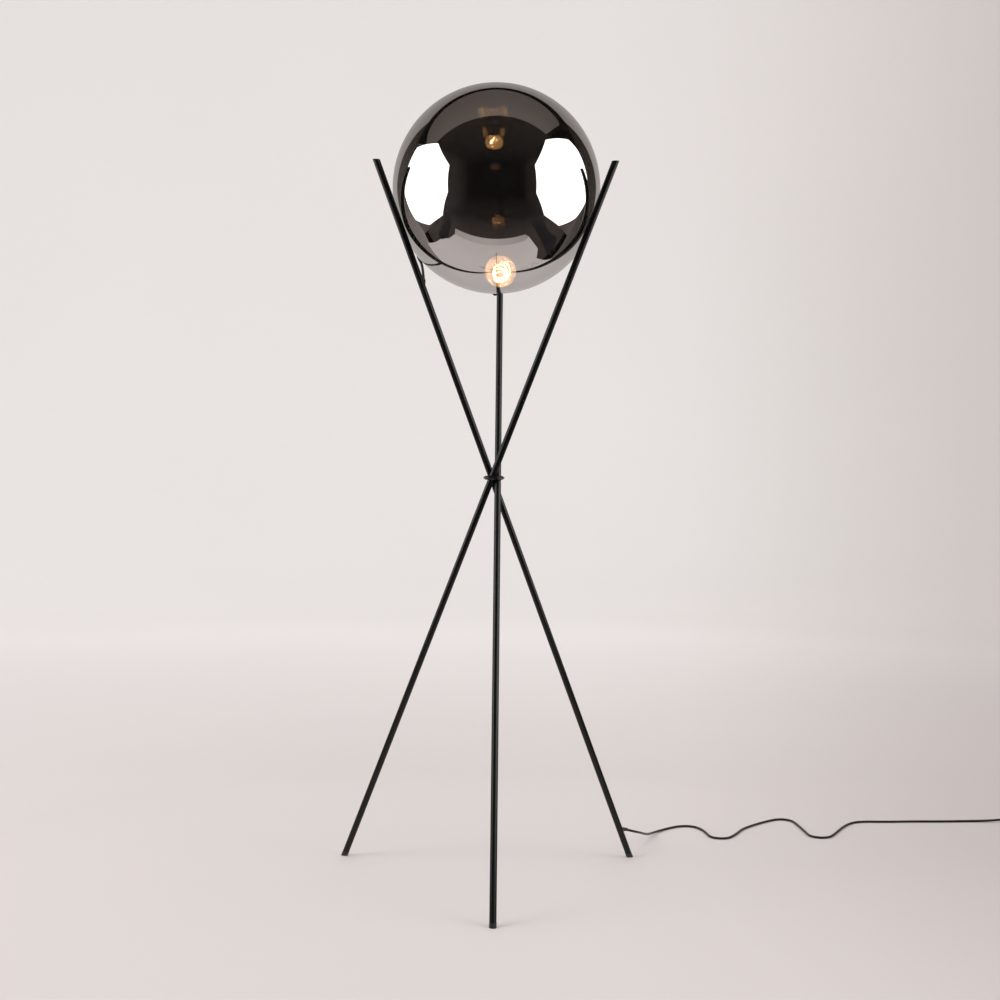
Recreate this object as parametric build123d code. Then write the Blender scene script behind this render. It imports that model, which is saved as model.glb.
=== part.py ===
# Globe floor lamp: three slanted tubes cross at a waist ring and stand as a tripod.
# A smoked glass globe hangs between their upper halves, carried at the back of
# its underside by a gallery on the rear tube.
# Millimetres, +Z up, -Y is the front. The origin is on the floor, at the middle
# of the lamp's box. Measures below are taken from the tripod's own axis and the
# whole is moved to the origin at the end.
from build123d import *
import math
import os

os.makedirs("parts", exist_ok=True)

# ---- driving dimensions -------------------------------------------------
tube_d, tube_t = 12.5, 1.25          # leg tube
slant = 23.5                         # lean of every tube from the vertical, degrees
axis_offset = 7.5                    # tube axis from the tripod axis at the waist
waist_z, top_z = 762.0, 1338.0       # height of the crossing and of the tube tops
mid_half = 147.0                     # height from the waist to each tube joint
joint_gap = 0.3
foot_h, foot_d = 8.2, 13.0           # foot cap
ring_od, ring_id, ring_h = 40.0, 28.8, 8.0
globe_d, glass_t = 387.6, 3.0
globe_x, globe_y, globe_z = -1.7, -35.0, 1301.4   # globe centre: it hangs in front of the axis, nearly against the two front tubes
neck_angle = 50.0                    # neck direction, degrees below the horizontal, to the rear
neck_od, neck_id, neck_end = 88.0, 82.0, 199.8
gallery_r, gallery_t = 47.5, 1.5
holder_z, holder_y = -150.5, 112.5   # lampholder axis height and rear face, from the globe centre
stub_d = 12.0
cord_d = 5.0
floor_cord_z = cord_d / 2 + 0.1
cable_low_z, cable_high_z = 59.0, 1112.0   # height of the two cable holes in the cable leg
shift_x, shift_y = 3.75, 40.574       # tripod axis in the row frame

R = tube_d / 2
ST, CT = math.sin(math.radians(slant)), math.cos(math.radians(slant))
TT = ST / CT
CMIN = (Align.CENTER, Align.CENTER, Align.MIN)
nodes = {}


def cyl(p, d, r, a, b):
    """Cylinder of radius r about the line through p along d, from a to b along it."""
    pl = Plane(origin=Vector(*p), z_dir=Vector(*d).normalized())
    return pl.location * Pos(0, 0, a) * Cylinder(r, b - a, align=CMIN)


def cone(p, d, r0, r1, a, b):
    pl = Plane(origin=Vector(*p), z_dir=Vector(*d).normalized())
    return pl.location * Pos(0, 0, a) * Cone(r0, r1, b - a, align=CMIN)


def slab(z0, z1):
    return Pos(0, 0, z0) * Box(1600, 1600, z1 - z0, align=CMIN)


def spin(points, p, d, x=(1, 0, 0)):
    """Solid of revolution: points are (radius, height) about the line through p along d."""
    face = make_face(Polyline(*[(a, 0, b) for a, b in points], close=True))
    solid = revolve(face, Axis.Z)
    return Plane(origin=Vector(*p), x_dir=Vector(*x), z_dir=Vector(*d).normalized()).location * solid


# ---- the three legs -------------------------------------------------------
W = (axis_offset, 0, waist_z)        # rear-top leg, in the plane x = axis_offset
U = (0, ST, CT)
turn = {"rear": 0, "left": 120, "right": 240}   # named by where the top end points
sj = mid_half / CT
s_top = (top_z - waist_z) / CT
s_foot = -waist_z / CT


def rod(r, a, b):
    return cyl(W, U, r, a, b)


tube_bore = R - tube_t
lower = (rod(R, s_foot - 20, -sj - joint_gap / 2) - rod(tube_bore, s_foot - 30, 0)) & slab(foot_h + 0.3, 900)
middle = rod(R, -sj + joint_gap / 2, sj - joint_gap / 2) - rod(tube_bore, -sj, sj)
upper = (rod(R, sj + joint_gap / 2, s_top + 20) - rod(tube_bore, 0, s_top + 30)) & slab(700, top_z)

# the cable leg is the one whose top points left; its two cable holes
UA = Vector(*U).rotate(Axis.Z, 120)
WA = Vector(*W).rotate(Axis.Z, 120)


def on_cable_leg(z):
    return WA + UA * ((z - waist_z) / UA.Z)


low_p, high_p = on_cable_leg(cable_low_z), on_cable_leg(cable_high_z)
low_dir = Vector(0.6, 0.775, -0.2).normalized()     # outwards and a little down
high_dir = Vector(0.05, 0.72, 0.692).normalized()     # backwards and up

for name, a in turn.items():
    lo, mi, up = (Rot(0, 0, a) * s for s in (lower, middle, upper))
    if name == "left":
        lo = lo - cyl(low_p, low_dir, 3.9, 0, 20)
        up = up - cyl(high_p, high_dir, 3.6, 0, 20)
    nodes[f"lower_tube_{name}"] = lo
    nodes[f"middle_tube_{name}"] = mi
    nodes[f"upper_tube_{name}"] = up

studs, feet, plugs = [], [], []
for a in turn.values():
    for s in (-sj, sj):
        stud = rod(tube_bore - 0.06, s - 24, s + 24) - rod(3.2, s - 30, s + 30)
        studs.append(Rot(0, 0, a) * stud)
    foot = (rod(foot_d / 2, s_foot - 20, s_foot + 30) & slab(0, foot_h)) + (
        rod(tube_bore - 0.1, s_foot - 20, s_foot + 40) & slab(2, 24)
    )
    feet.append(Rot(0, 0, a) * foot)
    plugs.append(Rot(0, 0, a) * (rod(tube_bore - 0.06, s_top - 40, s_top + 20) & slab(top_z - 12, top_z - 0.4)))
nodes["joint_studs"] = Compound(studs)
nodes["foot_caps"] = Compound(feet)
nodes["top_plugs"] = Compound(plugs)

# waist ring: lens section, sharp outer edge
ro, ri, h = ring_od / 2, ring_id / 2, ring_h / 2
nodes["waist_ring"] = spin([(ri, -h), (ri + 1.6, -h), (ro, -0.9), (ro, 0.9), (ri + 1.6, h), (ri, h)], (0, 0, waist_z), (0, 0, 1))

# ---- the globe and its gallery ------------------------------------------
G = Vector(globe_x, globe_y, globe_z)
collar_s, lip_s, screw_s = neck_end - 10.4, neck_end - 7.0, neck_end - 4.0
na = math.radians(neck_angle)
N = Vector(0, math.cos(na), -math.sin(na))       # along the neck, outwards
T = Vector(0, math.sin(na), math.cos(na))        # across it, up and to the rear
X = Vector(1, 0, 0)

ball = Pos(*G) * Sphere(globe_d / 2)
hollow = Pos(*G) * Sphere(globe_d / 2 - glass_t)
glass = (ball + cyl(G, N, neck_od / 2, 150, neck_end)) - hollow - cyl(G, N, neck_id / 2, 150, neck_end + 5)
nodes["glass_globe"] = glass

s_in, s_out = neck_end + 1.2, neck_end + 1.2 + gallery_t
cup = spin(
    [(0, s_in), (gallery_r - gallery_t, s_in), (gallery_r - gallery_t, collar_s), (gallery_r, collar_s),
     (gallery_r, s_out - 1.2), (gallery_r - 1.2, s_out), (0, s_out)], G, N)
screw_angles = (30, 150, 270)
screw_dirs = [X * math.cos(math.radians(a)) + T * math.sin(math.radians(a)) for a in screw_angles]
SC = G + N * screw_s
for d in screw_dirs:
    cup = cup - cyl(SC, d, 2.05, 40, 60)
gland_dir = X * -1
cup = cup - cyl(SC, gland_dir, 3.2, 40, 60)
nodes["gallery_cup"] = cup
nr = neck_od / 2
nodes["gallery_gasket"] = spin(
    [(neck_id / 2 + 0.3, neck_end + 0.05), (nr + 0.1, neck_end + 0.05), (nr + 0.1, lip_s), (nr + 1.85, lip_s),
     (nr + 1.85, s_in - 0.05), (neck_id / 2 + 0.3, s_in - 0.05)], G, N)
for i, d in enumerate(screw_dirs, 1):
    knob = cyl(SC, d, 5.5, gallery_r + 0.3, gallery_r + 7.3)
    knob = chamfer(knob.edges().filter_by(GeomType.CIRCLE), 0.5)
    pl = Plane(origin=SC, z_dir=d)
    for k in range(12):
        knob = knob - pl.location * Rot(0, 0, k * 30) * Pos(5.75, 0, gallery_r - 1) * Cylinder(0.6, 12, align=CMIN)
    nodes[f"thumb_screw_{i}"] = knob + cyl(SC, d, 2.0, nr + 2.15, gallery_r + 1.0)

# stub between the rear leg and the gallery
SB = Vector(axis_offset, 0, globe_z - 150.0)
stub = cyl(SB, (0, 1, 0), stub_d / 2, 85, 182) - rod(R + 0.02, 0, s_top)
stub = stub - cyl(G, N, 90, 0, s_out + 0.02)
stub = stub.solids().sort_by(Axis.Y)[0]
nodes["gallery_arm"] = stub

# cable gland in the gallery's left side
gland = cyl(SC, gland_dir, 3.1, gallery_r - 1.4, 60) + cyl(SC, gland_dir, 6.5, gallery_r + 0.6, 53) + cone(SC, gland_dir, 5.0, 3.3, 53, 74)
nodes["gallery_gland"] = gland

# ---- the lampholder, inside the gallery, its axis level ---------------------
HA = Vector(axis_offset, globe_y + holder_y, globe_z + holder_z)   # rear face centre
F = (0, -1, 0)                                           # towards the front


def hspin(points):
    return spin(points, HA, F)


brk = Pos(HA.X, HA.Y + 1.05, HA.Z) * Pos(0, 0, -26) * Box(30, 1.5, 47, align=CMIN)
foot_pl = Plane(origin=G + N * (s_in - 0.8) - T * 8.7, x_dir=X, z_dir=N)
brk = brk + Pos(HA.X - G.X, 0, 0) * (foot_pl.location * Box(30, 33.5, 1.5))
inside = cyl(G, N, gallery_r - gallery_t - 1.0, 0, s_in - 0.1)
brk = (brk & inside) - cyl(HA, (0, 1, 0), 5.06, -2, 6) - cyl(HA, (0, -1, 0), 17.4, -0.25, 40)
nodes["holder_bracket"] = brk.solids().sort_by(SortBy.VOLUME)[-1]
nodes["holder_nipple"] = cyl(HA, (0, 1, 0), 5.0, -5, 9) - cyl(HA, (0, 1, 0), 3.5, -6, 10)
nut = Plane(origin=HA, z_dir=Vector(0, 1, 0)).location * Pos(0, 0, 2.1) * extrude(RegularPolygon(8.2, 6), 3)
nodes["holder_nut"] = nut - cyl(HA, (0, 1, 0), 5.04, -2, 12)
nodes["holder_cap"] = hspin([(5.05, 0), (16.2, 0), (17, 0.8), (17, 26), (15.6, 26), (15.6, 3), (5.05, 3)])
nodes["holder_insert"] = hspin([(2.3, 6), (15.4, 6), (15.4, 14), (2.3, 14)])
nodes["holder_contact"] = hspin([(0, 4.5), (2.1, 4.5), (2.1, 14.2), (3.4, 14.2), (3.4, 15.6), (0, 15.6)])
nodes["holder_shell"] = hspin([(13.45, 17.5), (14.0, 17.5), (14.0, 45), (13.45, 45)])
nodes["holder_skirt"] = hspin([(14.1, 26.2), (17.8, 26.2), (18.2, 26.8), (18.2, 49), (17.4, 50), (15.2, 50), (14.1, 46)])

# ---- the bulb: pear shape, screw cap ---------------------------------------
B0 = 16.0                                                # its contact, from the holder's rear face


def bspin(points):
    return hspin([(r, b + B0) for r, b in points])


nodes["bulb_contact"] = bspin([(0, 0), (4.4, 0), (4.8, 0.5), (4.8, 1.2), (0, 1.2)])
nodes["bulb_insulator"] = bspin([(0, 1.25), (5.2, 1.25), (10.8, 4.0), (10.8, 5.0), (0, 5.0)])
nodes["bulb_cap"] = bspin([(10.2, 5.1), (12.6, 5.1), (13.05, 6), (13.05, 25), (12.9, 27), (12.2, 27), (12.2, 6), (10.2, 6)])
out_pts = [(12.1, 27.1), (13.4, 33), (19.5, 46), (26.5, 59), (30, 74), (27.6, 88), (18, 100)]
outer = Spline(*[(r, 0, b + B0) for r, b in out_pts], (0.01, 0, 105.5 + B0), tangents=((0.05, 0, 1), (-1, 0, 0)))
inner_pts = [(11.3, 27.1), (12.6, 33.2), (18.8, 46.4), (25.6, 59.4), (29, 74), (26.7, 87.4), (17.4, 99)]
inner = Spline(*[(r, 0, b + B0) for r, b in inner_pts], (0.01, 0, 104.5 + B0), tangents=((0.05, 0, 1), (-1, 0, 0)))
prof = make_face([outer, Line(outer @ 1, inner @ 1), inner, Line(inner @ 0, outer @ 0)])
nodes["bulb_glass"] = Plane(origin=HA, x_dir=X, z_dir=Vector(*F)).location * revolve(prof, Axis.Z)
nodes["bulb_stem"] = bspin([(0, 24), (9.5, 24), (9.5, 27), (4.6, 34), (3.0, 46), (1.2, 48), (1.0, 90), (0, 91)])


def cord(points, d, label, tip=None):
    """Tube along straight runs joined by tangent arcs. Prints its radii and its length."""
    p = [Vector(*q) for q in points]
    runs = [b - a for a, b in zip(p, p[1:])]
    radii = []
    for r0, r1 in zip(runs, runs[1:]):
        bend = math.radians(r0.get_angle(r1))
        radii.append(0.45 * min(r0.length, r1.length) / math.tan(bend / 2))
    path = FilletPolyline(*p, radius=radii)
    tube = sweep(Plane(origin=path @ 0, z_dir=path % 0) * Circle(d / 2), path=path)
    length = path.length
    print(f"{label}: length {length:.1f}, volume/section*length {tube.volume / (math.pi * d * d / 4 * length):.4f}, "
          f"runs {min(r.length for r in runs):.0f}-{max(r.length for r in runs):.0f}, "
          f"radii {min(radii):.1f}: {[round(r) for r in radii]}")
    return tube


# filament: a loose spiral round the stem
fil = []
fn, ft = 3.0, 8
for i in range(int(fn * ft) + 1):
    a = 2 * math.pi * i / ft
    fil.append((HA.X + 12 * math.cos(a), HA.Y - B0 - 52 - 33 * i / (fn * ft), HA.Z + 12 * math.sin(a)))
nodes["bulb_filament"] = cord(fil, 1.8, "filament")

# ---- the mains cord ---------------------------------------------------------
# strain relief at the cable leg's foot, and at its upper hole
legA = Rot(0, 0, 120) * rod(R + 0.05, s_foot, s_top)
low_rel = cyl(low_p, low_dir, 3.8, 4.6, 14) + (cone(low_p, low_dir, 4.7, 3.0, 7.0, 28) - legA)
high_rel = cyl(high_p, high_dir, 3.5, 4.6, 13) + (cone(high_p, high_dir, 4.2, 2.9, 7.0, 24) - legA)
nodes["lower_cord_relief"] = low_rel
nodes["upper_cord_relief"] = high_rel
za, zb = cable_low_z + 8, cable_high_z - 8
la, lb = on_cable_leg(za), on_cable_leg(zb)
nodes["inner_lead"] = cyl(la, lb - la, cord_d / 2, 0, (lb - la).length)

p0 = high_p + high_dir * 24.1
p5 = SC + gland_dir * 74.1
upper_route = [
    tuple(p0),
    (-138.5, -18.0, 1159.5),
    (-148.0, 12.0, 1176.5),
    (-151.5, 36.0, 1186.0),
    (-143.0, 64.0, 1181.0),
    (-123.0, 86.0, 1165.0),
    (-99.0, 90.86, 1151.41),
    tuple(p5),
]
nodes["upper_lead"] = cord(upper_route, cord_d, "upper lead")

fz = floor_cord_z
q0 = low_p + low_dir * 28.1
floor_route = [
    tuple(q0),
    (307.0, 215.0, 42.0),
    (319.0, 255.0, 28.5),
    (327.0, 296.0, 15.5),
    (333.0, 335.0, 6.0),
    (345.0, 370.0, fz),
    (368.0, 401.0, fz),
    (417.0, 440.0, fz),
    (433.0, 443.0, fz),
    (447.0, 438.0, fz),
    (457.0, 426.0, fz),
    (461.0, 399.0, fz),
    (467.0, 349.0, fz),
    (477.0, 338.0, fz),
    (490.0, 332.0, fz),
    (505.0, 334.0, fz),
    (517.0, 343.0, fz),
    (530.0, 372.0, fz),
    (551.0, 424.0, fz),
    (596.0, 481.0, fz),
    (631.0, 516.0, fz),
    (643.0, 521.0, fz),
    (656.0, 521.0, fz),
    (667.0, 514.0, fz),
    (674.0, 503.0, fz),
    (678.0, 475.0, fz),
    (679.0, 425.0, fz),
    (681.0, 385.0, fz),
    (689.0, 361.0, fz),
    (702.0, 352.0, fz),
    (717.0, 352.0, fz),
    (729.0, 360.0, fz),
    (744.0, 385.0, fz),
    (771.0, 443.0, fz),
    (800.0, 490.0, fz),
    (829.0, 508.0, fz),
    (880.0, 507.0, fz),
    (945.0, 515.0, fz),
    (1014.0, 518.0, fz),
    (1076.0, 525.0, fz),
    (1121.0, 526.0, 3.6),
    (1156.0, 527.0, 7.0),
]
nodes["mains_cord"] = cord(floor_route, cord_d, "mains cord")

# foot switch, in line, just past the view's right edge
sx, sy = 1210.0, 527.0
sw_l, sw_w, sw_h = 66.0, 30.0, 19.0


def pad(l, w, r, z0, z1):
    return Pos(sx, sy, z0) * extrude(RectangleRounded(l, w, r), z1 - z0)


nodes["switch_base"] = pad(sw_l, sw_w, 12, 0, 4.5) + pad(sw_l - 8, sw_w - 8, 8, 4.5, 5.5)
cover = pad(sw_l, sw_w, 12, 4.8, sw_h)
cover = fillet(cover.faces().sort_by(Axis.Z)[-1].edges(), 4.0)
cover = cover - pad(sw_l - 4, sw_w - 4, 10, 4.0, sw_h - 2.2)
cover = cover - Pos(sx, sy, 0) * Cylinder(10.0, 40, align=CMIN)
for k in (-1, 1):
    cover = cover - cyl((sx, sy, 9.0), (k, 0, 0), 3.6, sw_l / 2 - 6, sw_l / 2 + 2)
nodes["switch_cover"] = cover
bz = sw_h - 2.5
button = Pos(sx, sy, bz - 1.6) * Cylinder(11.8, 1.6, align=CMIN) + Pos(sx, sy, bz - 1.6) * Cylinder(9.7, 6.8, align=CMIN)
button = fillet(button.faces().sort_by(Axis.Z)[-1].edges(), 1.0)
nodes["switch_button"] = button
nodes["switch_spring"] = Pos(sx, sy, 5.55) * (Cylinder(6.0, bz - 1.6 - 5.6, align=CMIN) - Cylinder(5.0, 30, align=CMIN))
screws = [Pos(sx + dx, sy, 0.4) * (Cylinder(2.6, 1.4, align=CMIN) + Cylinder(1.3, 3.4, align=CMIN)) for dx in (-24, 24)]
base = nodes["switch_base"]
for dx in (-24, 24):
    base = base - Pos(sx + dx, sy, 0) * (Cylinder(2.8, 1.9, align=CMIN) + Cylinder(1.35, 4.0, align=CMIN))
nodes["switch_base"] = base
nodes["switch_screws"] = Compound(screws)
rel_a = cyl((sx, sy, 9.0), (-1, 0, 0), 3.5, sw_l / 2 - 5, sw_l / 2 + 1)
rel_a = rel_a + cone((sx - sw_l / 2 - 0.8, sy, 9.0), Vector(-20, 0, -2.0), 4.4, 2.9, 0, 20)
rel_b = mirror(rel_a, Plane(origin=(sx, sy, 0), z_dir=(1, 0, 0)))
nodes["switch_relief_left"] = rel_a
nodes["switch_relief_right"] = rel_b

# coil of the put-away length, and the plug
coil_c = (1306.9, 456.5)
coil_ri, coil_ro, coil_h = 22.5, 33.5, 15.0
nodes["cord_coil"] = Pos(coil_c[0], coil_c[1], 0) * (Cylinder(coil_ro, coil_h, align=CMIN) - Cylinder(coil_ri, coil_h, align=CMIN))
nodes["coil_tie"] = Pos(coil_c[0] + 28, coil_c[1], 0) * (Box(14.0, 5, coil_h + 2.4, align=CMIN) - Pos(0, 0, -1) * Box(11.4, 6, coil_h + 2.2, align=CMIN))
e_sw = Vector(sx + sw_l / 2 + 21.0, sy, 7.0)
nodes["cord_to_coil"] = cord(
    [tuple(e_sw), (1284.0, 527.0, 4.8), (1299.0, 518.0, fz), (1306.9, 504.3, fz), (1306.9, 490.05, fz)], cord_d, "cord to coil")
# the plug's pins point to the front, away from everything else
qx, qy, pz = 1306.9, 372.0, 8.0
nodes["cord_to_plug"] = cord([(qx, 422.95, fz), (qx, 406.0, 3.9), (qx, 389.0, 7.2), (qx, qy + 0.15, pz)], cord_d, "cord to plug")
relief = cone((qx, qy, pz), (0, -1, 0), 3.1, 5.6, 0, 22)
body_face = Plane(origin=(qx, qy - 21.0, pz), x_dir=(1, 0, 0), z_dir=(0, -1, 0))
body = loft([
    body_face.location * RectangleRounded(15, 12.6, 4),
    body_face.offset(14).location * RectangleRounded(28, 15.0, 5),
    body_face.offset(36).location * RectangleRounded(35.2, 15.4, 5.5),
])
body = body + cyl((qx, qy - 21.0, pz), (0, -1, 0), 5.6, -0.5, 6)
for k in (-1, 1):
    body = body - cyl((qx + 9.3 * k, qy - 57.0, pz), (0, 1, 0), 2.52, -1, 12)
nodes["plug_body"] = body
nodes["plug_relief"] = relief - cyl((qx, qy - 21.0, pz), (0, 1, 0), 8, -6, 0.55)
pins = []
for k in (-1, 1):
    base = (qx + 9.3 * k, qy - 57.0, pz)
    tip = Pos(base[0], base[1] - 17.6, pz) * (Sphere(2.0) & Box(8, 4, 8, align=(Align.CENTER, Align.MAX, Align.CENTER)))
    pins.append(cyl(base, (0, -1, 0), 2.5, -11, -0.1) + cyl(base, (0, -1, 0), 2.0, -0.1, 17.6) + tip)
nodes["plug_pins"] = Compound(pins)

# ---- move to the row frame and write ---------------------------------------
cord_nodes = {"mains_cord", "switch_base", "switch_cover", "switch_button", "switch_spring", "switch_screws",
              "switch_relief_left", "switch_relief_right", "cord_to_coil", "cord_coil", "coil_tie",
              "cord_to_plug", "plug_body", "plug_relief", "plug_pins"}
own = Compound([n for k, n in nodes.items() if k not in cord_nodes]).bounding_box()
print("tripod axis should be at", round(-(own.min.X + own.max.X) / 2, 3), round(-(own.min.Y + own.max.Y) / 2, 3),
      "lowest", round(own.min.Z, 4), "highest", round(own.max.Z, 3))
print(len(nodes), "nodes")
for name, shape in nodes.items():
    if isinstance(shape, ShapeList):
        shape = Compound(list(shape))
    export_step(Pos(shift_x, shift_y, 0) * shape, f"parts/{name}.step")
print("globe centre", [round(v, 3) for v in (G + Vector(shift_x, shift_y, 0))])
print("neck dir", tuple(N), "screws", [tuple(round(c, 5) for c in d) for d in screw_dirs], "SC", tuple(SC + Vector(shift_x, shift_y, 0)))
print("holder", tuple(HA + Vector(shift_x, shift_y, 0)), "low", tuple(q0), tuple(low_dir), "high", tuple(p0), tuple(high_dir), "p5", tuple(p5))
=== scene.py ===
import math

import bpy
from mathutils import Matrix, Vector


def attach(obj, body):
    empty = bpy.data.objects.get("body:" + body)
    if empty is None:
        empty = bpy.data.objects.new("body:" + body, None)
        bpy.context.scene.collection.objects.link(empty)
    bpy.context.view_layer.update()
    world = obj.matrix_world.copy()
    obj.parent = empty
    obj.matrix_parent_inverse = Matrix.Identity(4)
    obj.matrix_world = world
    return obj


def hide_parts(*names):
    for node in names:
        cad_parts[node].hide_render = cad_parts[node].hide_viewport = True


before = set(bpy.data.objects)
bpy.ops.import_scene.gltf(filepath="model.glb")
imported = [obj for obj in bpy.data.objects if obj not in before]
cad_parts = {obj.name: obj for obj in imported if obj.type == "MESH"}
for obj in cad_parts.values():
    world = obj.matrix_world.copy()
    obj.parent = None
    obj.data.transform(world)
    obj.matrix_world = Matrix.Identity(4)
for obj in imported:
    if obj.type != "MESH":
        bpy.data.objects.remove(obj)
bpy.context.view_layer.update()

scene = bpy.context.scene
scene.view_settings.view_transform = "Standard"

SX, SY = 3.75, 40.574              # tripod axis in the row frame, mm


def P(x, y, z):
    """Tripod-frame millimetres to row-frame metres."""
    return Vector(((x + SX) / 1000, (y + SY) / 1000, z / 1000))


GLOBE = P(-1.7, -35, 1301.4)
ND = Vector((0, math.cos(math.radians(50)), -math.sin(math.radians(50))))
HOLD = P(7.5, 77.5, 1150.9)


# ---- materials ---------------------------------------------------------------
def new_mat(name):
    m = bpy.data.materials.new(name)
    m.use_nodes = True
    nt = m.node_tree
    nt.nodes.clear()
    out = nt.nodes.new("ShaderNodeOutputMaterial")
    b = nt.nodes.new("ShaderNodeBsdfPrincipled")
    nt.links.new(b.outputs[0], out.inputs[0])
    return m, nt, b


def obj_coords(nt):
    return nt.nodes.new("ShaderNodeTexCoord").outputs["Object"]


def noise(nt, scale, detail=2.0, rough=0.5, coords=None):
    n = nt.nodes.new("ShaderNodeTexNoise")
    n.inputs["Scale"].default_value = scale
    n.inputs["Detail"].default_value = detail
    n.inputs["Roughness"].default_value = rough
    nt.links.new(coords or obj_coords(nt), n.inputs["Vector"])
    return n.outputs["Fac"]


def ramp(nt, fac, stops):
    r = nt.nodes.new("ShaderNodeValToRGB")
    e = r.color_ramp.elements
    while len(e) < len(stops):
        e.new(0.5)
    for k, (p, c) in zip(e, stops):
        k.position = p
        k.color = (*c, 1) if len(c) == 3 else c
    nt.links.new(fac, r.inputs[0])
    return r.outputs[0]


def to_range(nt, fac, lo, hi, a=0.0, b=1.0):
    m = nt.nodes.new("ShaderNodeMapRange")
    m.inputs["From Min"].default_value = a
    m.inputs["From Max"].default_value = b
    m.inputs["To Min"].default_value = lo
    m.inputs["To Max"].default_value = hi
    nt.links.new(fac, m.inputs["Value"])
    return m.outputs["Result"]


def bump(nt, b, height, strength, distance):
    n = nt.nodes.new("ShaderNodeBump")
    n.inputs["Strength"].default_value = strength
    n.inputs["Distance"].default_value = distance
    nt.links.new(height, n.inputs["Height"])
    nt.links.new(n.outputs[0], b.inputs["Normal"])


def surface(name, dark, light, r_lo, r_hi, metal=0.0, grain=1800, patch=14, strength=0.2, depth=0.0001, spec=0.5):
    """Grained solid finish: tone drifts in patches, roughness and bump follow the grain."""
    m, nt, b = new_mat(name)
    c = obj_coords(nt)
    big, fine = noise(nt, patch, 4, 0.6, c), noise(nt, grain, 3, 0.6, c)
    nt.links.new(ramp(nt, big, [(0.3, dark), (0.7, light)]), b.inputs["Base Color"])
    mix = nt.nodes.new("ShaderNodeMath")
    mix.operation = "MULTIPLY_ADD"
    mix.inputs[1].default_value = 0.5
    nt.links.new(fine, mix.inputs[0])
    half = nt.nodes.new("ShaderNodeMath")
    half.operation = "MULTIPLY"
    half.inputs[1].default_value = 0.5
    nt.links.new(big, half.inputs[0])
    nt.links.new(half.outputs[0], mix.inputs[2])
    nt.links.new(to_range(nt, mix.outputs[0], r_lo, r_hi, 0.3, 0.7), b.inputs["Roughness"])
    b.inputs["Metallic"].default_value = metal
    b.inputs["Specular IOR Level"].default_value = spec
    bump(nt, b, fine, strength, depth)
    return m


black_coat = surface("satin_black_coat", (0.003, 0.003, 0.0032), (0.0055, 0.0053, 0.0053), 0.24, 0.36, grain=2600, strength=0.12, depth=0.00005, spec=0.28)
matt_plastic = surface("matt_black_plastic", (0.007, 0.007, 0.0075), (0.012, 0.012, 0.012), 0.42, 0.58, grain=3200, strength=0.3, depth=0.00006)
moulded = surface("moulded_black_plastic", (0.008, 0.008, 0.0085), (0.014, 0.014, 0.014), 0.36, 0.52, grain=2400, strength=0.35, depth=0.00008)
rubber = surface("black_rubber", (0.008, 0.008, 0.008), (0.014, 0.0135, 0.013), 0.48, 0.66, grain=2000, strength=0.25, depth=0.00006)
sheath = surface("cord_sheath", (0.005, 0.0045, 0.0045), (0.009, 0.008, 0.008), 0.38, 0.5, grain=1500, strength=0.2, depth=0.00005, spec=0.3)
steel = surface("zinc_steel", (0.42, 0.42, 0.42), (0.55, 0.54, 0.52), 0.25, 0.42, metal=1.0, grain=1400, patch=60, strength=0.15, depth=0.00005)
brass = surface("plain_brass", (0.56, 0.38, 0.14), (0.72, 0.52, 0.24), 0.2, 0.34, metal=1.0, grain=1400, patch=90, strength=0.12, depth=0.00004)
alu = surface("rolled_aluminium", (0.55, 0.55, 0.54), (0.68, 0.68, 0.66), 0.22, 0.36, metal=1.0, grain=1200, patch=90, strength=0.15, depth=0.00005)
vitrite = surface("black_vitreous", (0.008, 0.008, 0.012), (0.016, 0.016, 0.022), 0.1, 0.2, grain=900, strength=0.1, depth=0.00004)


def coated_glass():
    """Thin smoked glass with a half-mirror coat: reflects about two thirds, lets a little through."""
    m, nt, b = new_mat("smoked_mirror_glass")
    c = obj_coords(nt)
    drift = noise(nt, 3.0, 2, 0.5, c)
    nt.links.new(ramp(nt, drift, [(0.25, (0.545, 0.525, 0.515)), (0.75, (0.6, 0.575, 0.56))]), b.inputs["Base Color"])
    b.inputs["Metallic"].default_value = 1.0
    nt.links.new(to_range(nt, noise(nt, 40, 2, 0.5, c), 0.0, 0.012, 0.3, 0.7), b.inputs["Roughness"])
    b.inputs["Alpha"].default_value = 0.94
    bump(nt, b, noise(nt, 7.0, 1, 0.4, c), 0.02, 0.002)
    return m


def clear_face():
    m, nt, b = new_mat("clear_inner_face")
    c = obj_coords(nt)
    nt.links.new(ramp(nt, noise(nt, 5, 2, 0.5, c), [(0.3, (0.03, 0.026, 0.024)), (0.7, (0.05, 0.045, 0.042))]), b.inputs["Base Color"])
    b.inputs["Roughness"].default_value = 0.02
    b.inputs["Alpha"].default_value = 0.03
    return m


def warm_glass():
    m, nt, b = new_mat("warm_bulb_glass")
    c = obj_coords(nt)
    nt.links.new(ramp(nt, noise(nt, 30, 3, 0.5, c), [(0.3, (0.9, 0.62, 0.3)), (0.7, (1.0, 0.75, 0.42))]), b.inputs["Base Color"])
    b.inputs["Roughness"].default_value = 0.04
    b.inputs["Alpha"].default_value = 0.07
    wave = nt.nodes.new("ShaderNodeTexWave")
    wave.inputs["Scale"].default_value = 22.0
    wave.inputs["Distortion"].default_value = 9.0
    wave.inputs["Detail"].default_value = 2.0
    nt.links.new(c, wave.inputs["Vector"])
    nt.links.new(ramp(nt, wave.outputs["Fac"], [(0.25, (0.45, 0.19, 0.05)), (0.6, (0.8, 0.40, 0.13)), (0.9, (1.0, 0.60, 0.26))]), b.inputs["Emission Color"])
    b.inputs["Emission Strength"].default_value = 34.0
    return m


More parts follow.
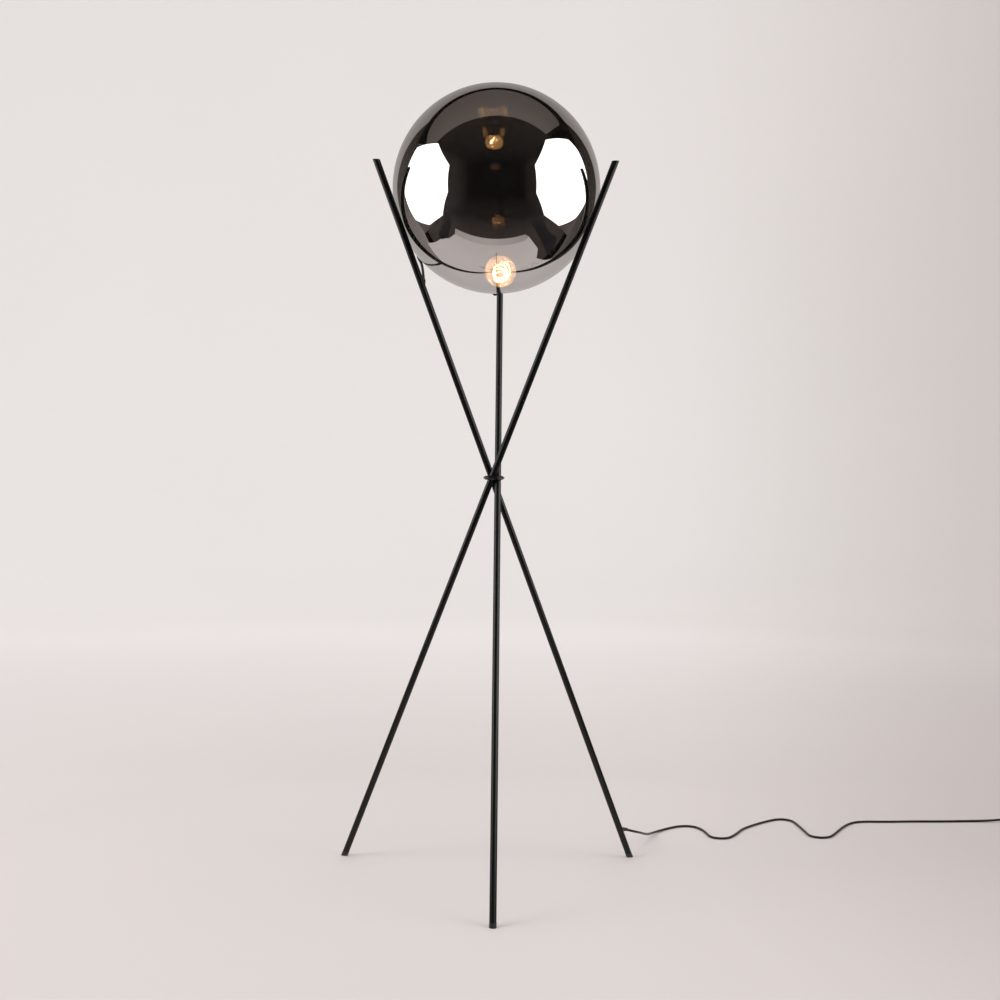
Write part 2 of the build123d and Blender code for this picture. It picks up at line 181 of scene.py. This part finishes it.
def glowing(name, color, power):
    m, nt, b = new_mat(name)
    c = obj_coords(nt)
    hot = noise(nt, 120, 2, 0.5, c)
    nt.links.new(ramp(nt, hot, [(0.35, tuple(v * 0.8 for v in color)), (0.65, color)]), b.inputs["Emission Color"])
    b.inputs["Base Color"].default_value = (1.0, 0.7, 0.35, 1)
    b.inputs["Emission Strength"].default_value = power
    return m


mirror_glass, inner_face, bulb_skin = coated_glass(), clear_face(), warm_glass()
filament_mat = glowing("hot_filament", (1.0, 0.64, 0.26), 260.0)


def paint(node, mat):
    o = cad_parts[node]
    o.data.materials.clear()
    o.data.materials.append(mat)


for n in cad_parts:
    if "tube_" in n or n in ("waist_ring", "gallery_cup", "gallery_arm") or n.startswith("thumb_screw"):
        paint(n, black_coat)
    elif n in ("joint_studs", "holder_bracket", "holder_nipple", "holder_nut", "switch_spring", "switch_screws"):
        paint(n, steel)
    elif n in ("foot_caps", "top_plugs"):
        paint(n, matt_plastic)
    elif n in ("holder_contact", "holder_shell", "plug_pins"):
        paint(n, brass)
    elif n in ("bulb_cap", "bulb_contact"):
        paint(n, alu)
    elif n == "bulb_insulator":
        paint(n, vitrite)
    elif n in ("bulb_stem", "bulb_glass"):
        paint(n, bulb_skin)
    elif n == "gallery_gasket" or "relief" in n or n == "gallery_gland":
        paint(n, rubber)
    elif n in ("inner_lead",):
        paint(n, sheath)
    else:
        paint(n, moulded)


# ---- mesh helpers --------------------------------------------------------------
def mesh_obj(name, verts, faces, mats, face_mat=None, smooth=True):
    me = bpy.data.meshes.new(name)
    me.from_pydata([tuple(v) for v in verts], [], faces)
    for m in mats:
        me.materials.append(m)
    if face_mat:
        for p, k in zip(me.polygons, face_mat):
            p.material_index = k
    for p in me.polygons:
        p.use_smooth = smooth
    me.update()
    o = bpy.data.objects.new(name, me)
    bpy.context.collection.objects.link(o)
    return o


def basis(d, x=(1, 0, 0)):
    z = Vector(d).normalized()
    a = Vector(x)
    a = (a - z * a.dot(z)).normalized()
    return a, z.cross(a), z


def lathe(name, profile, p, d, mats, seg=96, mat_of=None, x=(1, 0, 0), smooth=True):
    """Closed solid of revolution. profile: (radius, height) loop in metres; radius 0 gives a pole."""
    ax, ay, az = basis(d, x)
    p = Vector(p)
    verts, rings = [], []
    for r, h in profile:
        if r <= 1e-9:
            rings.append([len(verts)])
            verts.append(p + az * h)
        else:
            ring = []
            for k in range(seg):
                a = 2 * math.pi * k / seg
                ring.append(len(verts))
                verts.append(p + ax * (r * math.cos(a)) + ay * (r * math.sin(a)) + az * h)
            rings.append(ring)
    faces, fm = [], []
    pairs = list(zip(range(len(rings)), range(1, len(rings))))
    if len(rings[0]) > 1:
        pairs.append((len(rings) - 1, 0))
    for i, j in pairs:
        a, b = rings[i], rings[j]
        k = mat_of[i] if mat_of else 0
        for s in range(seg):
            t = (s + 1) % seg
            if len(a) == 1 and len(b) == 1:
                continue
            if len(a) == 1:
                f = (a[0], b[s], b[t])
            elif len(b) == 1:
                f = (a[s], b[0], a[t])
            else:
                f = (a[s], b[s], b[t], a[t])
            faces.append(f)
            fm.append(k)
    return mesh_obj(name, verts, faces, mats, fm, smooth)


def fix_normals(o):
    import bmesh
    bm = bmesh.new()
    bm.from_mesh(o.data)
    bmesh.ops.recalc_face_normals(bm, faces=bm.faces)
    bm.to_mesh(o.data)
    bm.free()
    return o


# ---- the globe -------------------------------------------------------------------
def globe_profile():
    R, r, no, ni, end = 0.1938, 0.1908, 0.044, 0.041, 0.1998
    out, kind = [], []
    # outer face: from the far pole to the neck, small fillet into the neck
    fil = 0.006
    a_end = math.asin((no + fil) / (R + fil))
    steps = 150
    for i in range(steps + 1):
        a = math.pi - (math.pi - a_end) * i / steps
        out.append((R * math.sin(a) if i else 0.0, R * math.cos(a)))
        kind.append(0)
    cx, ch = no + fil, (R + fil) * math.cos(a_end)
    for i in range(1, 7):
        t = a_end + (math.pi / 2 - a_end) * i / 6
        out.append((cx - fil * math.sin(t), ch - fil * math.cos(t)))
        kind.append(0)
    out += [(no, end - 0.001), (no - 0.0004, end - 0.0003), (no - 0.001, end), (ni + 0.001, end), (ni + 0.0004, end - 0.0003), (ni, end - 0.001)]
    kind += [0, 0, 0, 1, 1, 1]
    b_end = math.asin(ni / r)
    for i in range(steps + 1):
        a = b_end + (math.pi - b_end) * i / steps
        out.append((r * math.sin(a) if i < steps else 0.0, r * math.cos(a)))
        kind.append(1)
    return out, kind


prof, kinds = globe_profile()
globe = fix_normals(lathe("globe_glass", prof, GLOBE, ND, [mirror_glass, inner_face], 256, kinds))
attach(globe, "frame")
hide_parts("glass_globe")


# ---- bulb -------------------------------------------------------------------------
FWD = Vector((0, -1, 0))
B0 = 0.016


def spline_pts(pts, n):
    """Catmull-Rom through (radius, height) points."""
    q = [pts[0]] + list(pts) + [pts[-1]]
    out = []
    for i in range(1, len(q) - 2):
        for k in range(n):
            t = k / n
            c = []
            for j in range(2):
                a, b, c2, d = q[i - 1][j], q[i][j], q[i + 1][j], q[i + 2][j]
                c.append(0.5 * (2 * b + (c2 - a) * t + (2 * a - 5 * b + 4 * c2 - d) * t * t + (3 * b - a - 3 * c2 + d) * t ** 3))
            out.append(tuple(c))
    return out


shape = [(12.1, 27.1), (13.2, 33), (19.2, 46), (26.3, 59), (29.8, 74), (27.4, 88), (18.0, 100), (8.0, 104.6)]
outer = spline_pts(shape, 8) + [(8.0, 104.6), (4.0, 105.3), (0.0, 105.4)]
inner = [(max(r - 0.8, 0), h - (0 if h < 60 else 0.8 * (h - 60) / 45)) for r, h in outer]
loop = [(0.0, outer[-1][1] / 1000 + B0)] + [(r / 1000, h / 1000 + B0) for r, h in outer[-2::-1]]
loop += [(r / 1000, h / 1000 + B0) for r, h in inner[:-1]] + [(0.0, inner[-1][1] / 1000 + B0)]
bulb_glass = fix_normals(lathe("bulb_envelope", loop, HOLD, FWD, [bulb_skin], 96))
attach(bulb_glass, "bulb")
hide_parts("bulb_glass")


def tube_curve(name, pts, radius, mat, closed=False, order=3, res=8, bevel=4):
    c = bpy.data.curves.new(name, "CURVE")
    c.dimensions = "3D"
    s = c.splines.new("NURBS")
    s.points.add(len(pts) - 1)
    for q, v in zip(s.points, pts):
        q.co = (*v, 1)
    s.order_u = order
    s.use_endpoint_u = not closed
    s.use_cyclic_u = closed
    s.resolution_u = res
    c.bevel_depth = radius
    c.bevel_resolution = bevel
    c.use_fill_caps = True
    c.materials.append(mat)
    o = bpy.data.objects.new(name, c)
    bpy.context.collection.objects.link(o)
    return o


# long filament wound up and down between the stem's hooks
ax, ay, az = basis(FWD)
fil = []
turns, per = 3.25, 16
for i in range(int(turns * per) + 1):
    u = i / (turns * per)
    a = 2 * math.pi * i / per
    r = (6.0 + 13.0 * u + 1.4 * math.sin(2.3 * a)) / 1000
    h = B0 + (51 + 36 * u) / 1000
    fil.append(HOLD + Vector((0.001, 0, -0.003)) + ax * (r * math.cos(a)) + ay * (r * math.sin(a)) + az * h)
filament = tube_curve("bulb_spiral", fil, 0.0006, filament_mat)
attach(filament, "bulb")
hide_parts("bulb_filament")


# ---- strain reliefs: ribbed, tapered sleeves -----------------------------------------
def ribbed(name, node, p, d, start, end, r0, r1, flange=None):
    """Tapered rubber sleeve with cut rings, from start to end along d."""
    prof = [(0.0, start)]
    if flange:
        fr, fl = flange
        prof += [(fr - 0.0004, start), (fr, start + 0.0004), (fr, start + fl - 0.0004), (fr - 0.0004, start + fl)]
        s0 = start + fl
    else:
        s0 = start
    n = 6
    L = end - s0
    for k in range(n):
        a, b = s0 + L * (k + 0.12) / n, s0 + L * (k + 0.72) / n
        ra, rb = r0 + (r1 - r0) * (a - s0) / L, r0 + (r1 - r0) * (b - s0) / L
        prof += [(ra - 0.0007, a - 0.0002), (ra, a + 0.0002), (rb, b - 0.0002), (rb - 0.0007, b + 0.0002)]
    prof += [(r1, end - 0.0006), (r1 - 0.0003, end), (0.0, end)]
    o = fix_normals(lathe(name, prof, p, d, [rubber], 32))
    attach(o, "frame")
    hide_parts(node)
    return o


def leg_point(z):
    """Point on the cable leg's axis at height z, tripod frame, mm."""
    sl = math.radians(23.5)
    w = Vector((7.5, (z - 762.0) * math.tan(sl), z))
    a = math.radians(120)
    return Vector((w.x * math.cos(a) - w.y * math.sin(a), w.x * math.sin(a) + w.y * math.cos(a), z))


low_p, high_p = leg_point(59.0), leg_point(1112.0)
low_dir = Vector((0.6, 0.775, -0.2)).normalized()
high_dir = Vector((0.05, 0.72, 0.692)).normalized()
low_relief = ribbed("foot_sleeve", "lower_cord_relief", P(*low_p), low_dir, 0.0055, 0.028, 0.0045, 0.003)
high_relief = ribbed("upper_sleeve", "upper_cord_relief", P(*high_p), high_dir, 0.0055, 0.024, 0.0041, 0.0029)
SC = P(-1.7, 90.858, 1151.4085)
gland = ribbed("gallery_sleeve", "gallery_gland", SC, Vector((-1, 0, 0)), 0.0481, 0.074, 0.0048, 0.0033, flange=(0.0065, 0.0049))

# ---- the free cord -------------------------------------------------------------------
fz = 2.6
q0 = low_p + low_dir * 22
route = [
    tuple(q0),
    (290.8, 190.0, 47.8),
    (306.0, 215.0, 39.8),
    (317.5, 255.0, 28.5),
    (329.0, 296.0, 17.5),
    (340.0, 335.0, 9.5),
    (353.0, 370.0, 5.0),
    (371.6, 401.0, fz),
    (402.0, 432.0, fz),
    (418.0, 441.0, fz),
    (434.0, 443.0, fz),
    (447.0, 436.0, fz),
    (456.0, 422.0, fz),
    (463.0, 398.0, fz),
    (467.3, 360.0, fz),
    (469.0, 345.5, fz),
    (477.2, 333.5, fz),
    (491.0, 329.0, fz),
    (505.0, 333.5, fz),
    (514.0, 344.5, fz),
    (529.0, 372.0, fz),
    (551.0, 424.0, fz),
    (596.0, 478.0, fz),
    (628.0, 509.5, fz),
    (640.0, 518.5, fz),
    (654.5, 521.5, fz),
    (667.5, 514.5, fz),
    (674.5, 501.0, fz),
    (678.0, 475.0, fz),
    (681.0, 425.0, fz),
    (683.6, 379.0, fz),
    (684.8, 364.5, fz),
    (692.8, 351.8, fz),
    (706.4, 346.4, fz),
    (720.6, 349.8, fz),
    (730.2, 360.0, fz),
    (744.0, 385.0, fz),
    (771.0, 443.0, fz),
    (800.0, 490.0, fz),
    (829.0, 508.0, fz),
    (880.0, 507.0, fz),
    (945.0, 515.0, fz),
    (1014.0, 518.0, fz),
    (1076.0, 525.0, fz),
    (1121.0, 526.0, 3.6),
    (1158.5, 527.0, 7.2),
]
lead = tube_curve("mains_lead", [P(*q) for q in route], 0.0025, sheath, res=10, bevel=5)
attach(lead, "frame")
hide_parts("mains_cord")

# from the switch: round into the coil, and on to the plug
cx, cy = 1306.9, 456.5
coil = []
start, per = 44.0, 14
layers = [(31.6, 2.6), (26.2, 2.6), (26.2, 7.5), (31.6, 7.5), (26.2, 12.4), (31.6, 12.4)]
total = int(5.25 * per)
for i in range(total + 1):
    t = i / per
    k = min(int(t), len(layers) - 1)
    u = t - k
    r, z = layers[k]
    if u > 0.6 and k + 1 < len(layers):
        s = (u - 0.6) / 0.4
        s = s * s * (3 - 2 * s)
        r += (layers[k + 1][0] - r) * s
        z += (layers[k + 1][1] - z) * s
    a = math.radians(start - 360.0 * t)
    coil.append((cx + r * math.cos(a), cy + r * math.sin(a), z))
tail_route = [(1261.5, 527.0, 7.2), (1284.0, 527.0, 4.8), (1298.0, 519.0, 2.8), (1307.0, 507.0, fz), (1317.0, 494.0, fz)]
tail_route += coil
tail_route += [(1318.5, 422.5, 11.0), (1311.0, 409.5, 7.8), (1307.4, 396.0, 6.4), (1306.9, 383.5, 7.3), (1306.9, 369.5, 8.0)]
tail = tube_curve("plug_lead", [P(*q) for q in tail_route], 0.0025, sheath, res=10, bevel=5)
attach(tail, "frame")
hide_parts("cord_to_coil", "cord_coil", "cord_to_plug")

upper_route = [
    tuple(high_p + high_dir * 18),
    (-138.5, -18.0, 1159.5),
    (-148.0, 12.0, 1176.5),
    (-151.5, 36.0, 1186.0),
    (-143.0, 64.0, 1181.0),
    (-123.0, 86.0, 1165.0),
    (-99.0, 90.86, 1151.41),
    (-70.8, 90.858, 1151.4085),
]
upper_lead = tube_curve("upper_supply_lead", [P(*q) for q in upper_route], 0.0025, sheath, res=12, bevel=5)
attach(upper_lead, "frame")
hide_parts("upper_lead")


def curve_length(o):
    flat = o.data.copy()
    flat.bevel_depth = 0
    t = bpy.data.objects.new("tmp_len", flat)
    me = bpy.data.meshes.new_from_object(t)
    vs = [v.co for v in me.vertices]
    s = sum((b - a).length for a, b in zip(vs, vs[1:]))
    bpy.data.objects.remove(t)
    bpy.data.curves.remove(flat)
    bpy.data.meshes.remove(me)
    return s


print("cord lengths", [round(curve_length(o), 4) for o in (lead, tail, upper_lead)])

# ---- stage: pale studio ------------------------------------------------------------------
def stage_mat(name, color, strength=None):
    m, nt, b = new_mat(name)
    c = obj_coords(nt)
    drift = noise(nt, 0.6, 2, 0.5, c)
    lo = tuple(v * 0.985 for v in color)
    nt.links.new(ramp(nt, drift, [(0.3, lo), (0.7, color)]), b.inputs["Base Color"])
    b.inputs["Roughness"].default_value = 0.9
    b.inputs["Specular IOR Level"].default_value = 0.1
    if strength is not None:
        b.inputs["Base Color"].default_value = (0, 0, 0, 1)
        nt.links.new(ramp(nt, drift, [(0.3, lo), (0.7, color)]), b.inputs["Emission Color"])
        b.inputs["Emission Strength"].default_value = strength
    return m


def staged(o, camera=True, glossy=True, diffuse=True, shadow=True):
    o.visible_camera = camera
    o.visible_glossy = glossy
    o.visible_diffuse = diffuse
    o.visible_shadow = shadow
    o.visible_transmission = glossy
    return o


# floor that sweeps up into a wall all round
prof = [(0.0, 0.0), (2.0, 0.0), (5.5, 0.0)]
for i in range(1, 17):
    a = math.radians(90 * i / 16)
    prof.append((5.5 + 3.5 * math.sin(a), 3.5 - 3.5 * math.cos(a)))
prof += [(9.0, 9.0)]


def open_lathe(name, profile, seg, mat, centre=(0, 0, 0)):
    verts, faces = [Vector(centre)], []
    for r, h in profile[1:]:
        for k in range(seg):
            a = 2 * math.pi * k / seg
            verts.append(Vector(centre) + Vector((r * math.cos(a), r * math.sin(a), h)))
    n = len(profile) - 1
    for k in range(seg):
        faces.append((0, 1 + k, 1 + (k + 1) % seg))
    for j in range(n - 1):
        for k in range(seg):
            a = 1 + j * seg
            b = a + seg
            faces.append((a + k, b + k, b + (k + 1) % seg, a + (k + 1) % seg))
    return mesh_obj(name, verts, faces, [mat])


paper, pnt, pb = new_mat("studio_paper")
pc = obj_coords(pnt)
psep = pnt.nodes.new("ShaderNodeSeparateXYZ")
pnt.links.new(pc, psep.inputs[0])
plen = pnt.nodes.new("ShaderNodeVectorMath")
plen.operation = "LENGTH"
pnt.links.new(pc, plen.inputs[0])


def painted_shade_towards_x(color_socket):
    """Painted shade: the paper's tone falls slowly towards +X."""
    far = pnt.nodes.new("ShaderNodeMath")
    far.operation = "ADD"
    far.inputs[1].default_value = 3.0
    pnt.links.new(plen.outputs["Value"], far.inputs[0])
    part = pnt.nodes.new("ShaderNodeMath")
    part.operation = "DIVIDE"
    pnt.links.new(psep.outputs["X"], part.inputs[0])
    pnt.links.new(far.outputs[0], part.inputs[1])
    f = ramp(pnt, to_range(pnt, part.outputs[0], 0.0, 1.0, 0.0, 0.4),
             [(0.0, (1, 1, 1)), (0.15, (1, 1, 1)), (0.3, (0.98, 0.977, 0.975)), (0.42, (0.93, 0.924, 0.918)), (0.55, (0.86, 0.85, 0.84)), (0.7, (0.785, 0.77, 0.76)), (1.0, (0.70, 0.685, 0.67))])
    m = pnt.nodes.new("ShaderNodeVectorMath")
    m.operation = "MULTIPLY"
    pnt.links.new(color_socket, m.inputs[0])
    pnt.links.new(f, m.inputs[1])
    return m.outputs[0]


# painted shade: the paper's colour and its glow are both darkened towards +X by the same ramp
pnt.links.new(painted_shade_towards_x(ramp(pnt, noise(pnt, 0.6, 2, 0.5, pc), [(0.3, (0.556, 0.521, 0.510)), (0.7, (0.572, 0.536, 0.523))])), pb.inputs["Base Color"])
pb.inputs["Roughness"].default_value = 0.9
pb.inputs["Specular IOR Level"].default_value = 0.1
pnt.links.new(painted_shade_towards_x(ramp(pnt, to_range(pnt, plen.outputs["Value"], 0.0, 1.0, 0.0, 8.0),
                           [(0.0, (0.0, 0.0, 0.0)), (0.14, (0.0, 0.0, 0.0)), (0.29, (0.105, 0.10, 0.098)), (0.56, (0.30, 0.29, 0.285)), (0.74, (0.37, 0.36, 0.352)), (0.84, (0.385, 0.378, 0.372)), (1.0, (0.40, 0.393, 0.387))])), pb.inputs["Emission Color"])
pb.inputs["Emission Strength"].default_value = 1.0
bowl = staged(open_lathe("studio_sweep", prof, 96, paper), glossy=False)


def panel(name, pts, mat, **vis):
    o = mesh_obj(name, [Vector(p) for p in pts], [tuple(range(len(pts)))], [mat], smooth=False)
    return staged(o, camera=False, diffuse=False, shadow=False, **vis)


# what the mirror glass sees: softboxes, floor, rear sheet, ceiling, dark room
white_panel = stage_mat("softbox_face", (1.0, 1.0, 1.0), 2.2)
rim = stage_mat("softbox_rim", (0.01, 0.01, 0.01), 0.2)
left_box = [(-1.463, 0.425, 2.119), (-1.481, -0.415, 2.36), (-1.521, -1.242, 1.835), (-1.544, -1.19, 0.994), (-1.545, -0.66, 0.412),
            (-1.522, 0.041, 0.472), (-1.499, 0.505, 0.801), (-1.478, 0.699, 1.322), (-1.472, 0.625, 1.624)]
right_box = [(1.358, -0.679, 2.573), (1.41, 0.269, 2.336), (1.44, 0.454, 2.095), (1.49, 0.603, 1.663), (1.532, 0.662, 1.275),
             (1.571, 0.407, 0.838), (1.606, -0.108, 0.372), (1.589, -0.94, 0.306), (1.508, -1.616, 0.888), (1.4, -1.633, 1.912)]


def grown(pts, k, push):
    c = sum((Vector(p) for p in pts), Vector()) / len(pts)
    out = [c + (Vector(p) - c) * k for p in pts]
    return [(p.x + push, p.y, p.z) for p in out]


panel("softbox_left", left_box, white_panel)
panel("softbox_right", right_box, white_panel)
panel("softbox_left_rim", grown(left_box, 1.045, -0.03), rim)
panel("softbox_right_rim", grown(right_box, 1.045, 0.03), rim)



def graded(name, axis, a, b, stops):
    """Even glow whose tone runs along one axis from a to b, metres."""
    m, nt, p = new_mat(name)
    sep = nt.nodes.new("ShaderNodeSeparateXYZ")
    nt.links.new(obj_coords(nt), sep.inputs[0])
    f = to_range(nt, sep.outputs[axis], 0.0, 1.0, a, b)
    nt.links.new(ramp(nt, f, stops), p.inputs["Emission Color"])
    p.inputs["Base Color"].default_value = (0, 0, 0, 1)
    p.inputs["Specular IOR Level"].default_value = 0.0
    p.inputs["Emission Strength"].default_value = 1.0
    return m


seen_floor = graded("mirrored_floor", "Y", -0.5, 1.0, [(0.0, (0.70, 0.635, 0.62)), (0.45, (0.76, 0.70, 0.685)), (1.0, (0.74, 0.69, 0.67))])
seen_step = graded("mirrored_step", "X", -1.2, 0.9, [(0.0, (0.50, 0.45, 0.43)), (0.5, (0.60, 0.545, 0.53)), (1.0, (0.42, 0.385, 0.37))])
seen_rear = graded("mirrored_sheet", "Z", 0.0, 3.0, [(0.0, (0.74, 0.69, 0.67)), (0.35, (0.56, 0.53, 0.515)), (0.6, (0.42, 0.39, 0.375)), (1.0, (0.27, 0.25, 0.24))])
ceiling = graded("mirrored_ceiling", "Y", -0.6, 1.0, [(0.0, (0.17, 0.148, 0.13)), (0.6, (0.13, 0.11, 0.10)), (1.0, (0.115, 0.10, 0.09))])
room_top = graded("mirrored_room_top", "Y", -4.5, -0.6, [(0.0, (0.006, 0.0055, 0.005)), (0.75, (0.017, 0.0145, 0.011)), (1.0, (0.026, 0.021, 0.017))])
room_floor = graded("mirrored_room_floor", "Y", -4.5, -0.7, [(0.0, (0.006, 0.005, 0.005)), (0.7, (0.016, 0.014, 0.012)), (1.0, (0.06, 0.05, 0.044))])
room_wall = graded("mirrored_room_wall", "Y", -4.5, 0.9, [(0.0, (0.006, 0.005, 0.0045)), (0.45, (0.03, 0.024, 0.02)), (0.7, (0.05, 0.042, 0.038)), (1.0, (0.15, 0.13, 0.12))])
shade = graded("mirrored_dark_things", "Z", 0.0, 1.0, [(0.0, (0.018, 0.017, 0.018)), (1.0, (0.03, 0.028, 0.028))])
FY, SYY, RY = -0.508, -0.714, 0.99
panel("mirror_floor", [(-1.10, FY, -0.002), (0.70, FY, -0.002), (0.85, -0.59, -0.002), (0.935, -0.05, -0.002), (0.81, 0.26, -0.002),
                       (1.0, 0.62, -0.002), (1.3, RY, -0.002), (-1.85, RY, -0.002), (-1.55, 0.40, -0.002), (-1.42, 0.0, -0.002), (-1.2, -0.22, -0.002)], seen_floor)
panel("mirror_step", [(-1.21, SYY, -0.003), (0.77, SYY, -0.003), (0.85, -0.59, -0.003), (0.70, FY, -0.003), (-1.10, FY, -0.003)], seen_step)
panel("mirror_sheet", [(-1.05, RY, -0.002), (1.05, RY, -0.002), (0.98, RY, 1.5), (1.4, RY, 2.86), (0.0, RY, 2.76), (-1.5, RY, 2.9), (-1.0, RY, 1.5)], seen_rear)
panel("mirror_ceiling", [(-2.7, -0.40, 3.0), (-1.95, -0.50, 3.0), (-0.6, -0.6, 3.0), (1.6, -0.57, 3.0), (1.55, 0.5, 3.0), (1.35, 0.66, 3.0), (0.0, 0.93, 3.0), (-1.43, 0.72, 3.0), (-2.1, 0.5, 3.0), (-2.7, 0.2, 3.0)], ceiling)
panel("mirror_room_top", [(-2.8, -4.5, 3.02), (2.8, -4.5, 3.02), (2.8, -0.55, 3.02), (-2.8, -0.55, 3.02)], room_top)
panel("mirror_room_floor", [(-2.8, -4.5, -0.25), (2.8, -4.5, -0.25), (2.8, 0.6, -0.25), (-2.8, 0.6, -0.25)], room_floor)
panel("mirror_wall_left", [(-2.7, -4.5, -0.25), (-2.7, 0.95, -0.25), (-2.7, 0.95, 3.0), (-2.7, -4.5, 3.0)], room_wall)
panel("mirror_wall_right", [(2.7, -4.5, -0.25), (2.7, 0.95, -0.25), (2.7, 0.95, 3.0), (2.7, -4.5, 3.0)], room_wall)
corner_left = graded("mirrored_corner_left", "Z", -0.3, 3.0, [(0.0, (0.34, 0.30, 0.28)), (0.34, (0.25, 0.215, 0.20)), (0.52, (0.10, 0.085, 0.075)), (1.0, (0.03, 0.024, 0.02))])
corner_right = graded("mirrored_corner_right", "Z", -0.3, 3.0, [(0.0, (0.15, 0.135, 0.125)), (0.34, (0.07, 0.06, 0.054)), (0.6, (0.05, 0.04, 0.034)), (1.0, (0.024, 0.018, 0.015))])
panel("mirror_corner_left", [(-3.2, 1.02, -0.25), (-1.0, 1.02, -0.25), (-1.0, 1.02, 3.0), (-3.2, 1.02, 3.0)], corner_left)
panel("mirror_corner_right", [(1.0, 1.02, -0.25), (3.2, 1.02, -0.25), (3.2, 1.02, 3.0), (1.0, 1.02, 3.0)], corner_right)
panel("mirror_things_left", [(-1.5, -0.95, 0.02), (-1.32, -0.75, 0.55), (-1.25, -0.25, 0.34), (-1.30, -0.02, 0.26), (-1.33, 0.02, 0.05), (-1.25, -0.25, 0.0)], shade)
panel("mirror_things_right", [(1.15, -1.1, 0.02), (1.12, -0.75, 0.5), (1.12, -0.3, 0.38), (1.05, 0.1, 0.5), (1.0, 0.34, 0.3), (1.08, 0.42, 0.02)], shade)

# ---- lights -----------------------------------------------------------------------------------
def area(name, loc, target, size, power, color=(1, 0.985, 0.97), size_y=None):
    l = bpy.data.lights.new(name, "AREA")
    l.shape = "RECTANGLE" if size_y else "SQUARE"
    l.size = size
    if size_y:
        l.size_y = size_y
    l.energy = power * 0.85
    l.color = color
    o = bpy.data.objects.new(name, l)
    o.location = loc
    o.rotation_mode = "QUATERNION"
    o.rotation_quaternion = (Vector(target) - Vector(loc)).to_track_quat("-Z", "Y")
    o.visible_camera = False
    o.visible_glossy = False
    bpy.context.collection.objects.link(o)
    return o


area("key_left", (-3.2, -1.2, 3.0), (0.1, 0.1, 0.5), 2.4, 90)
area("key_right", (3.2, -1.4, 2.8), (0.1, 0.1, 0.5), 2.4, 60)
area("top_soft", (0.0, 0.5, 4.6), (0.0, 0.0, 0.0), 4.0, 90)
area("rear_fill", (0.0, 4.0, 3.4), (0.0, 0.0, 0.6), 4.0, 40)
warm = bpy.data.lights.new("bulb_glow", "POINT")
warm.energy = 0.7
warm.color = (1.0, 0.5, 0.18)
warm.shadow_soft_size = 0.02
wo = bpy.data.objects.new("bulb_glow", warm)
wo.location = HOLD + FWD * 0.085
wo.visible_camera = False
wo.visible_glossy = False
bpy.context.collection.objects.link(wo)

w = bpy.data.worlds.new("studio")
w.use_nodes = True
nt = w.node_tree
nt.nodes.clear()
wout = nt.nodes.new("ShaderNodeOutputWorld")
lp = nt.nodes.new("ShaderNodeLightPath")
dark = nt.nodes.new("ShaderNodeBackground")
dark.inputs[0].default_value = (0.0045, 0.004, 0.0035, 1)
fill = nt.nodes.new("ShaderNodeBackground")
fill.inputs[0].default_value = (0.93, 0.95, 1.0, 1)
fill.inputs[1].default_value = 0.55
mixw = nt.nodes.new("ShaderNodeMixShader")
nt.links.new(lp.outputs["Is Glossy Ray"], mixw.inputs[0])
nt.links.new(fill.outputs[0], mixw.inputs[1])
nt.links.new(dark.outputs[0], mixw.inputs[2])
nt.links.new(mixw.outputs[0], wout.inputs[0])
scene.world = w

# ---- camera -------------------------------------------------------------------------------------
cam_data = bpy.data.cameras.new("camera")
cam_data.lens = 56.895
cam_data.sensor_width = 36
cam_data.clip_start, cam_data.clip_end = 0.05, 60
cam = bpy.data.objects.new("camera", cam_data)
fwd = Vector((0.00403791, 0.99980073, -0.01954993))
right = Vector((0.99991748, -0.00379841, 0.01227225))
up = Vector((-0.01219554, 0.01959787, 0.99973356))
m = Matrix((
    (right.x, up.x, -fwd.x, 0.00375),
    (right.y, up.y, -fwd.y, -2.95943),
    (right.z, up.z, -fwd.z, 0.77860),
    (0, 0, 0, 1)))
cam.matrix_world = m
bpy.context.collection.objects.link(cam)
scene.camera = cam
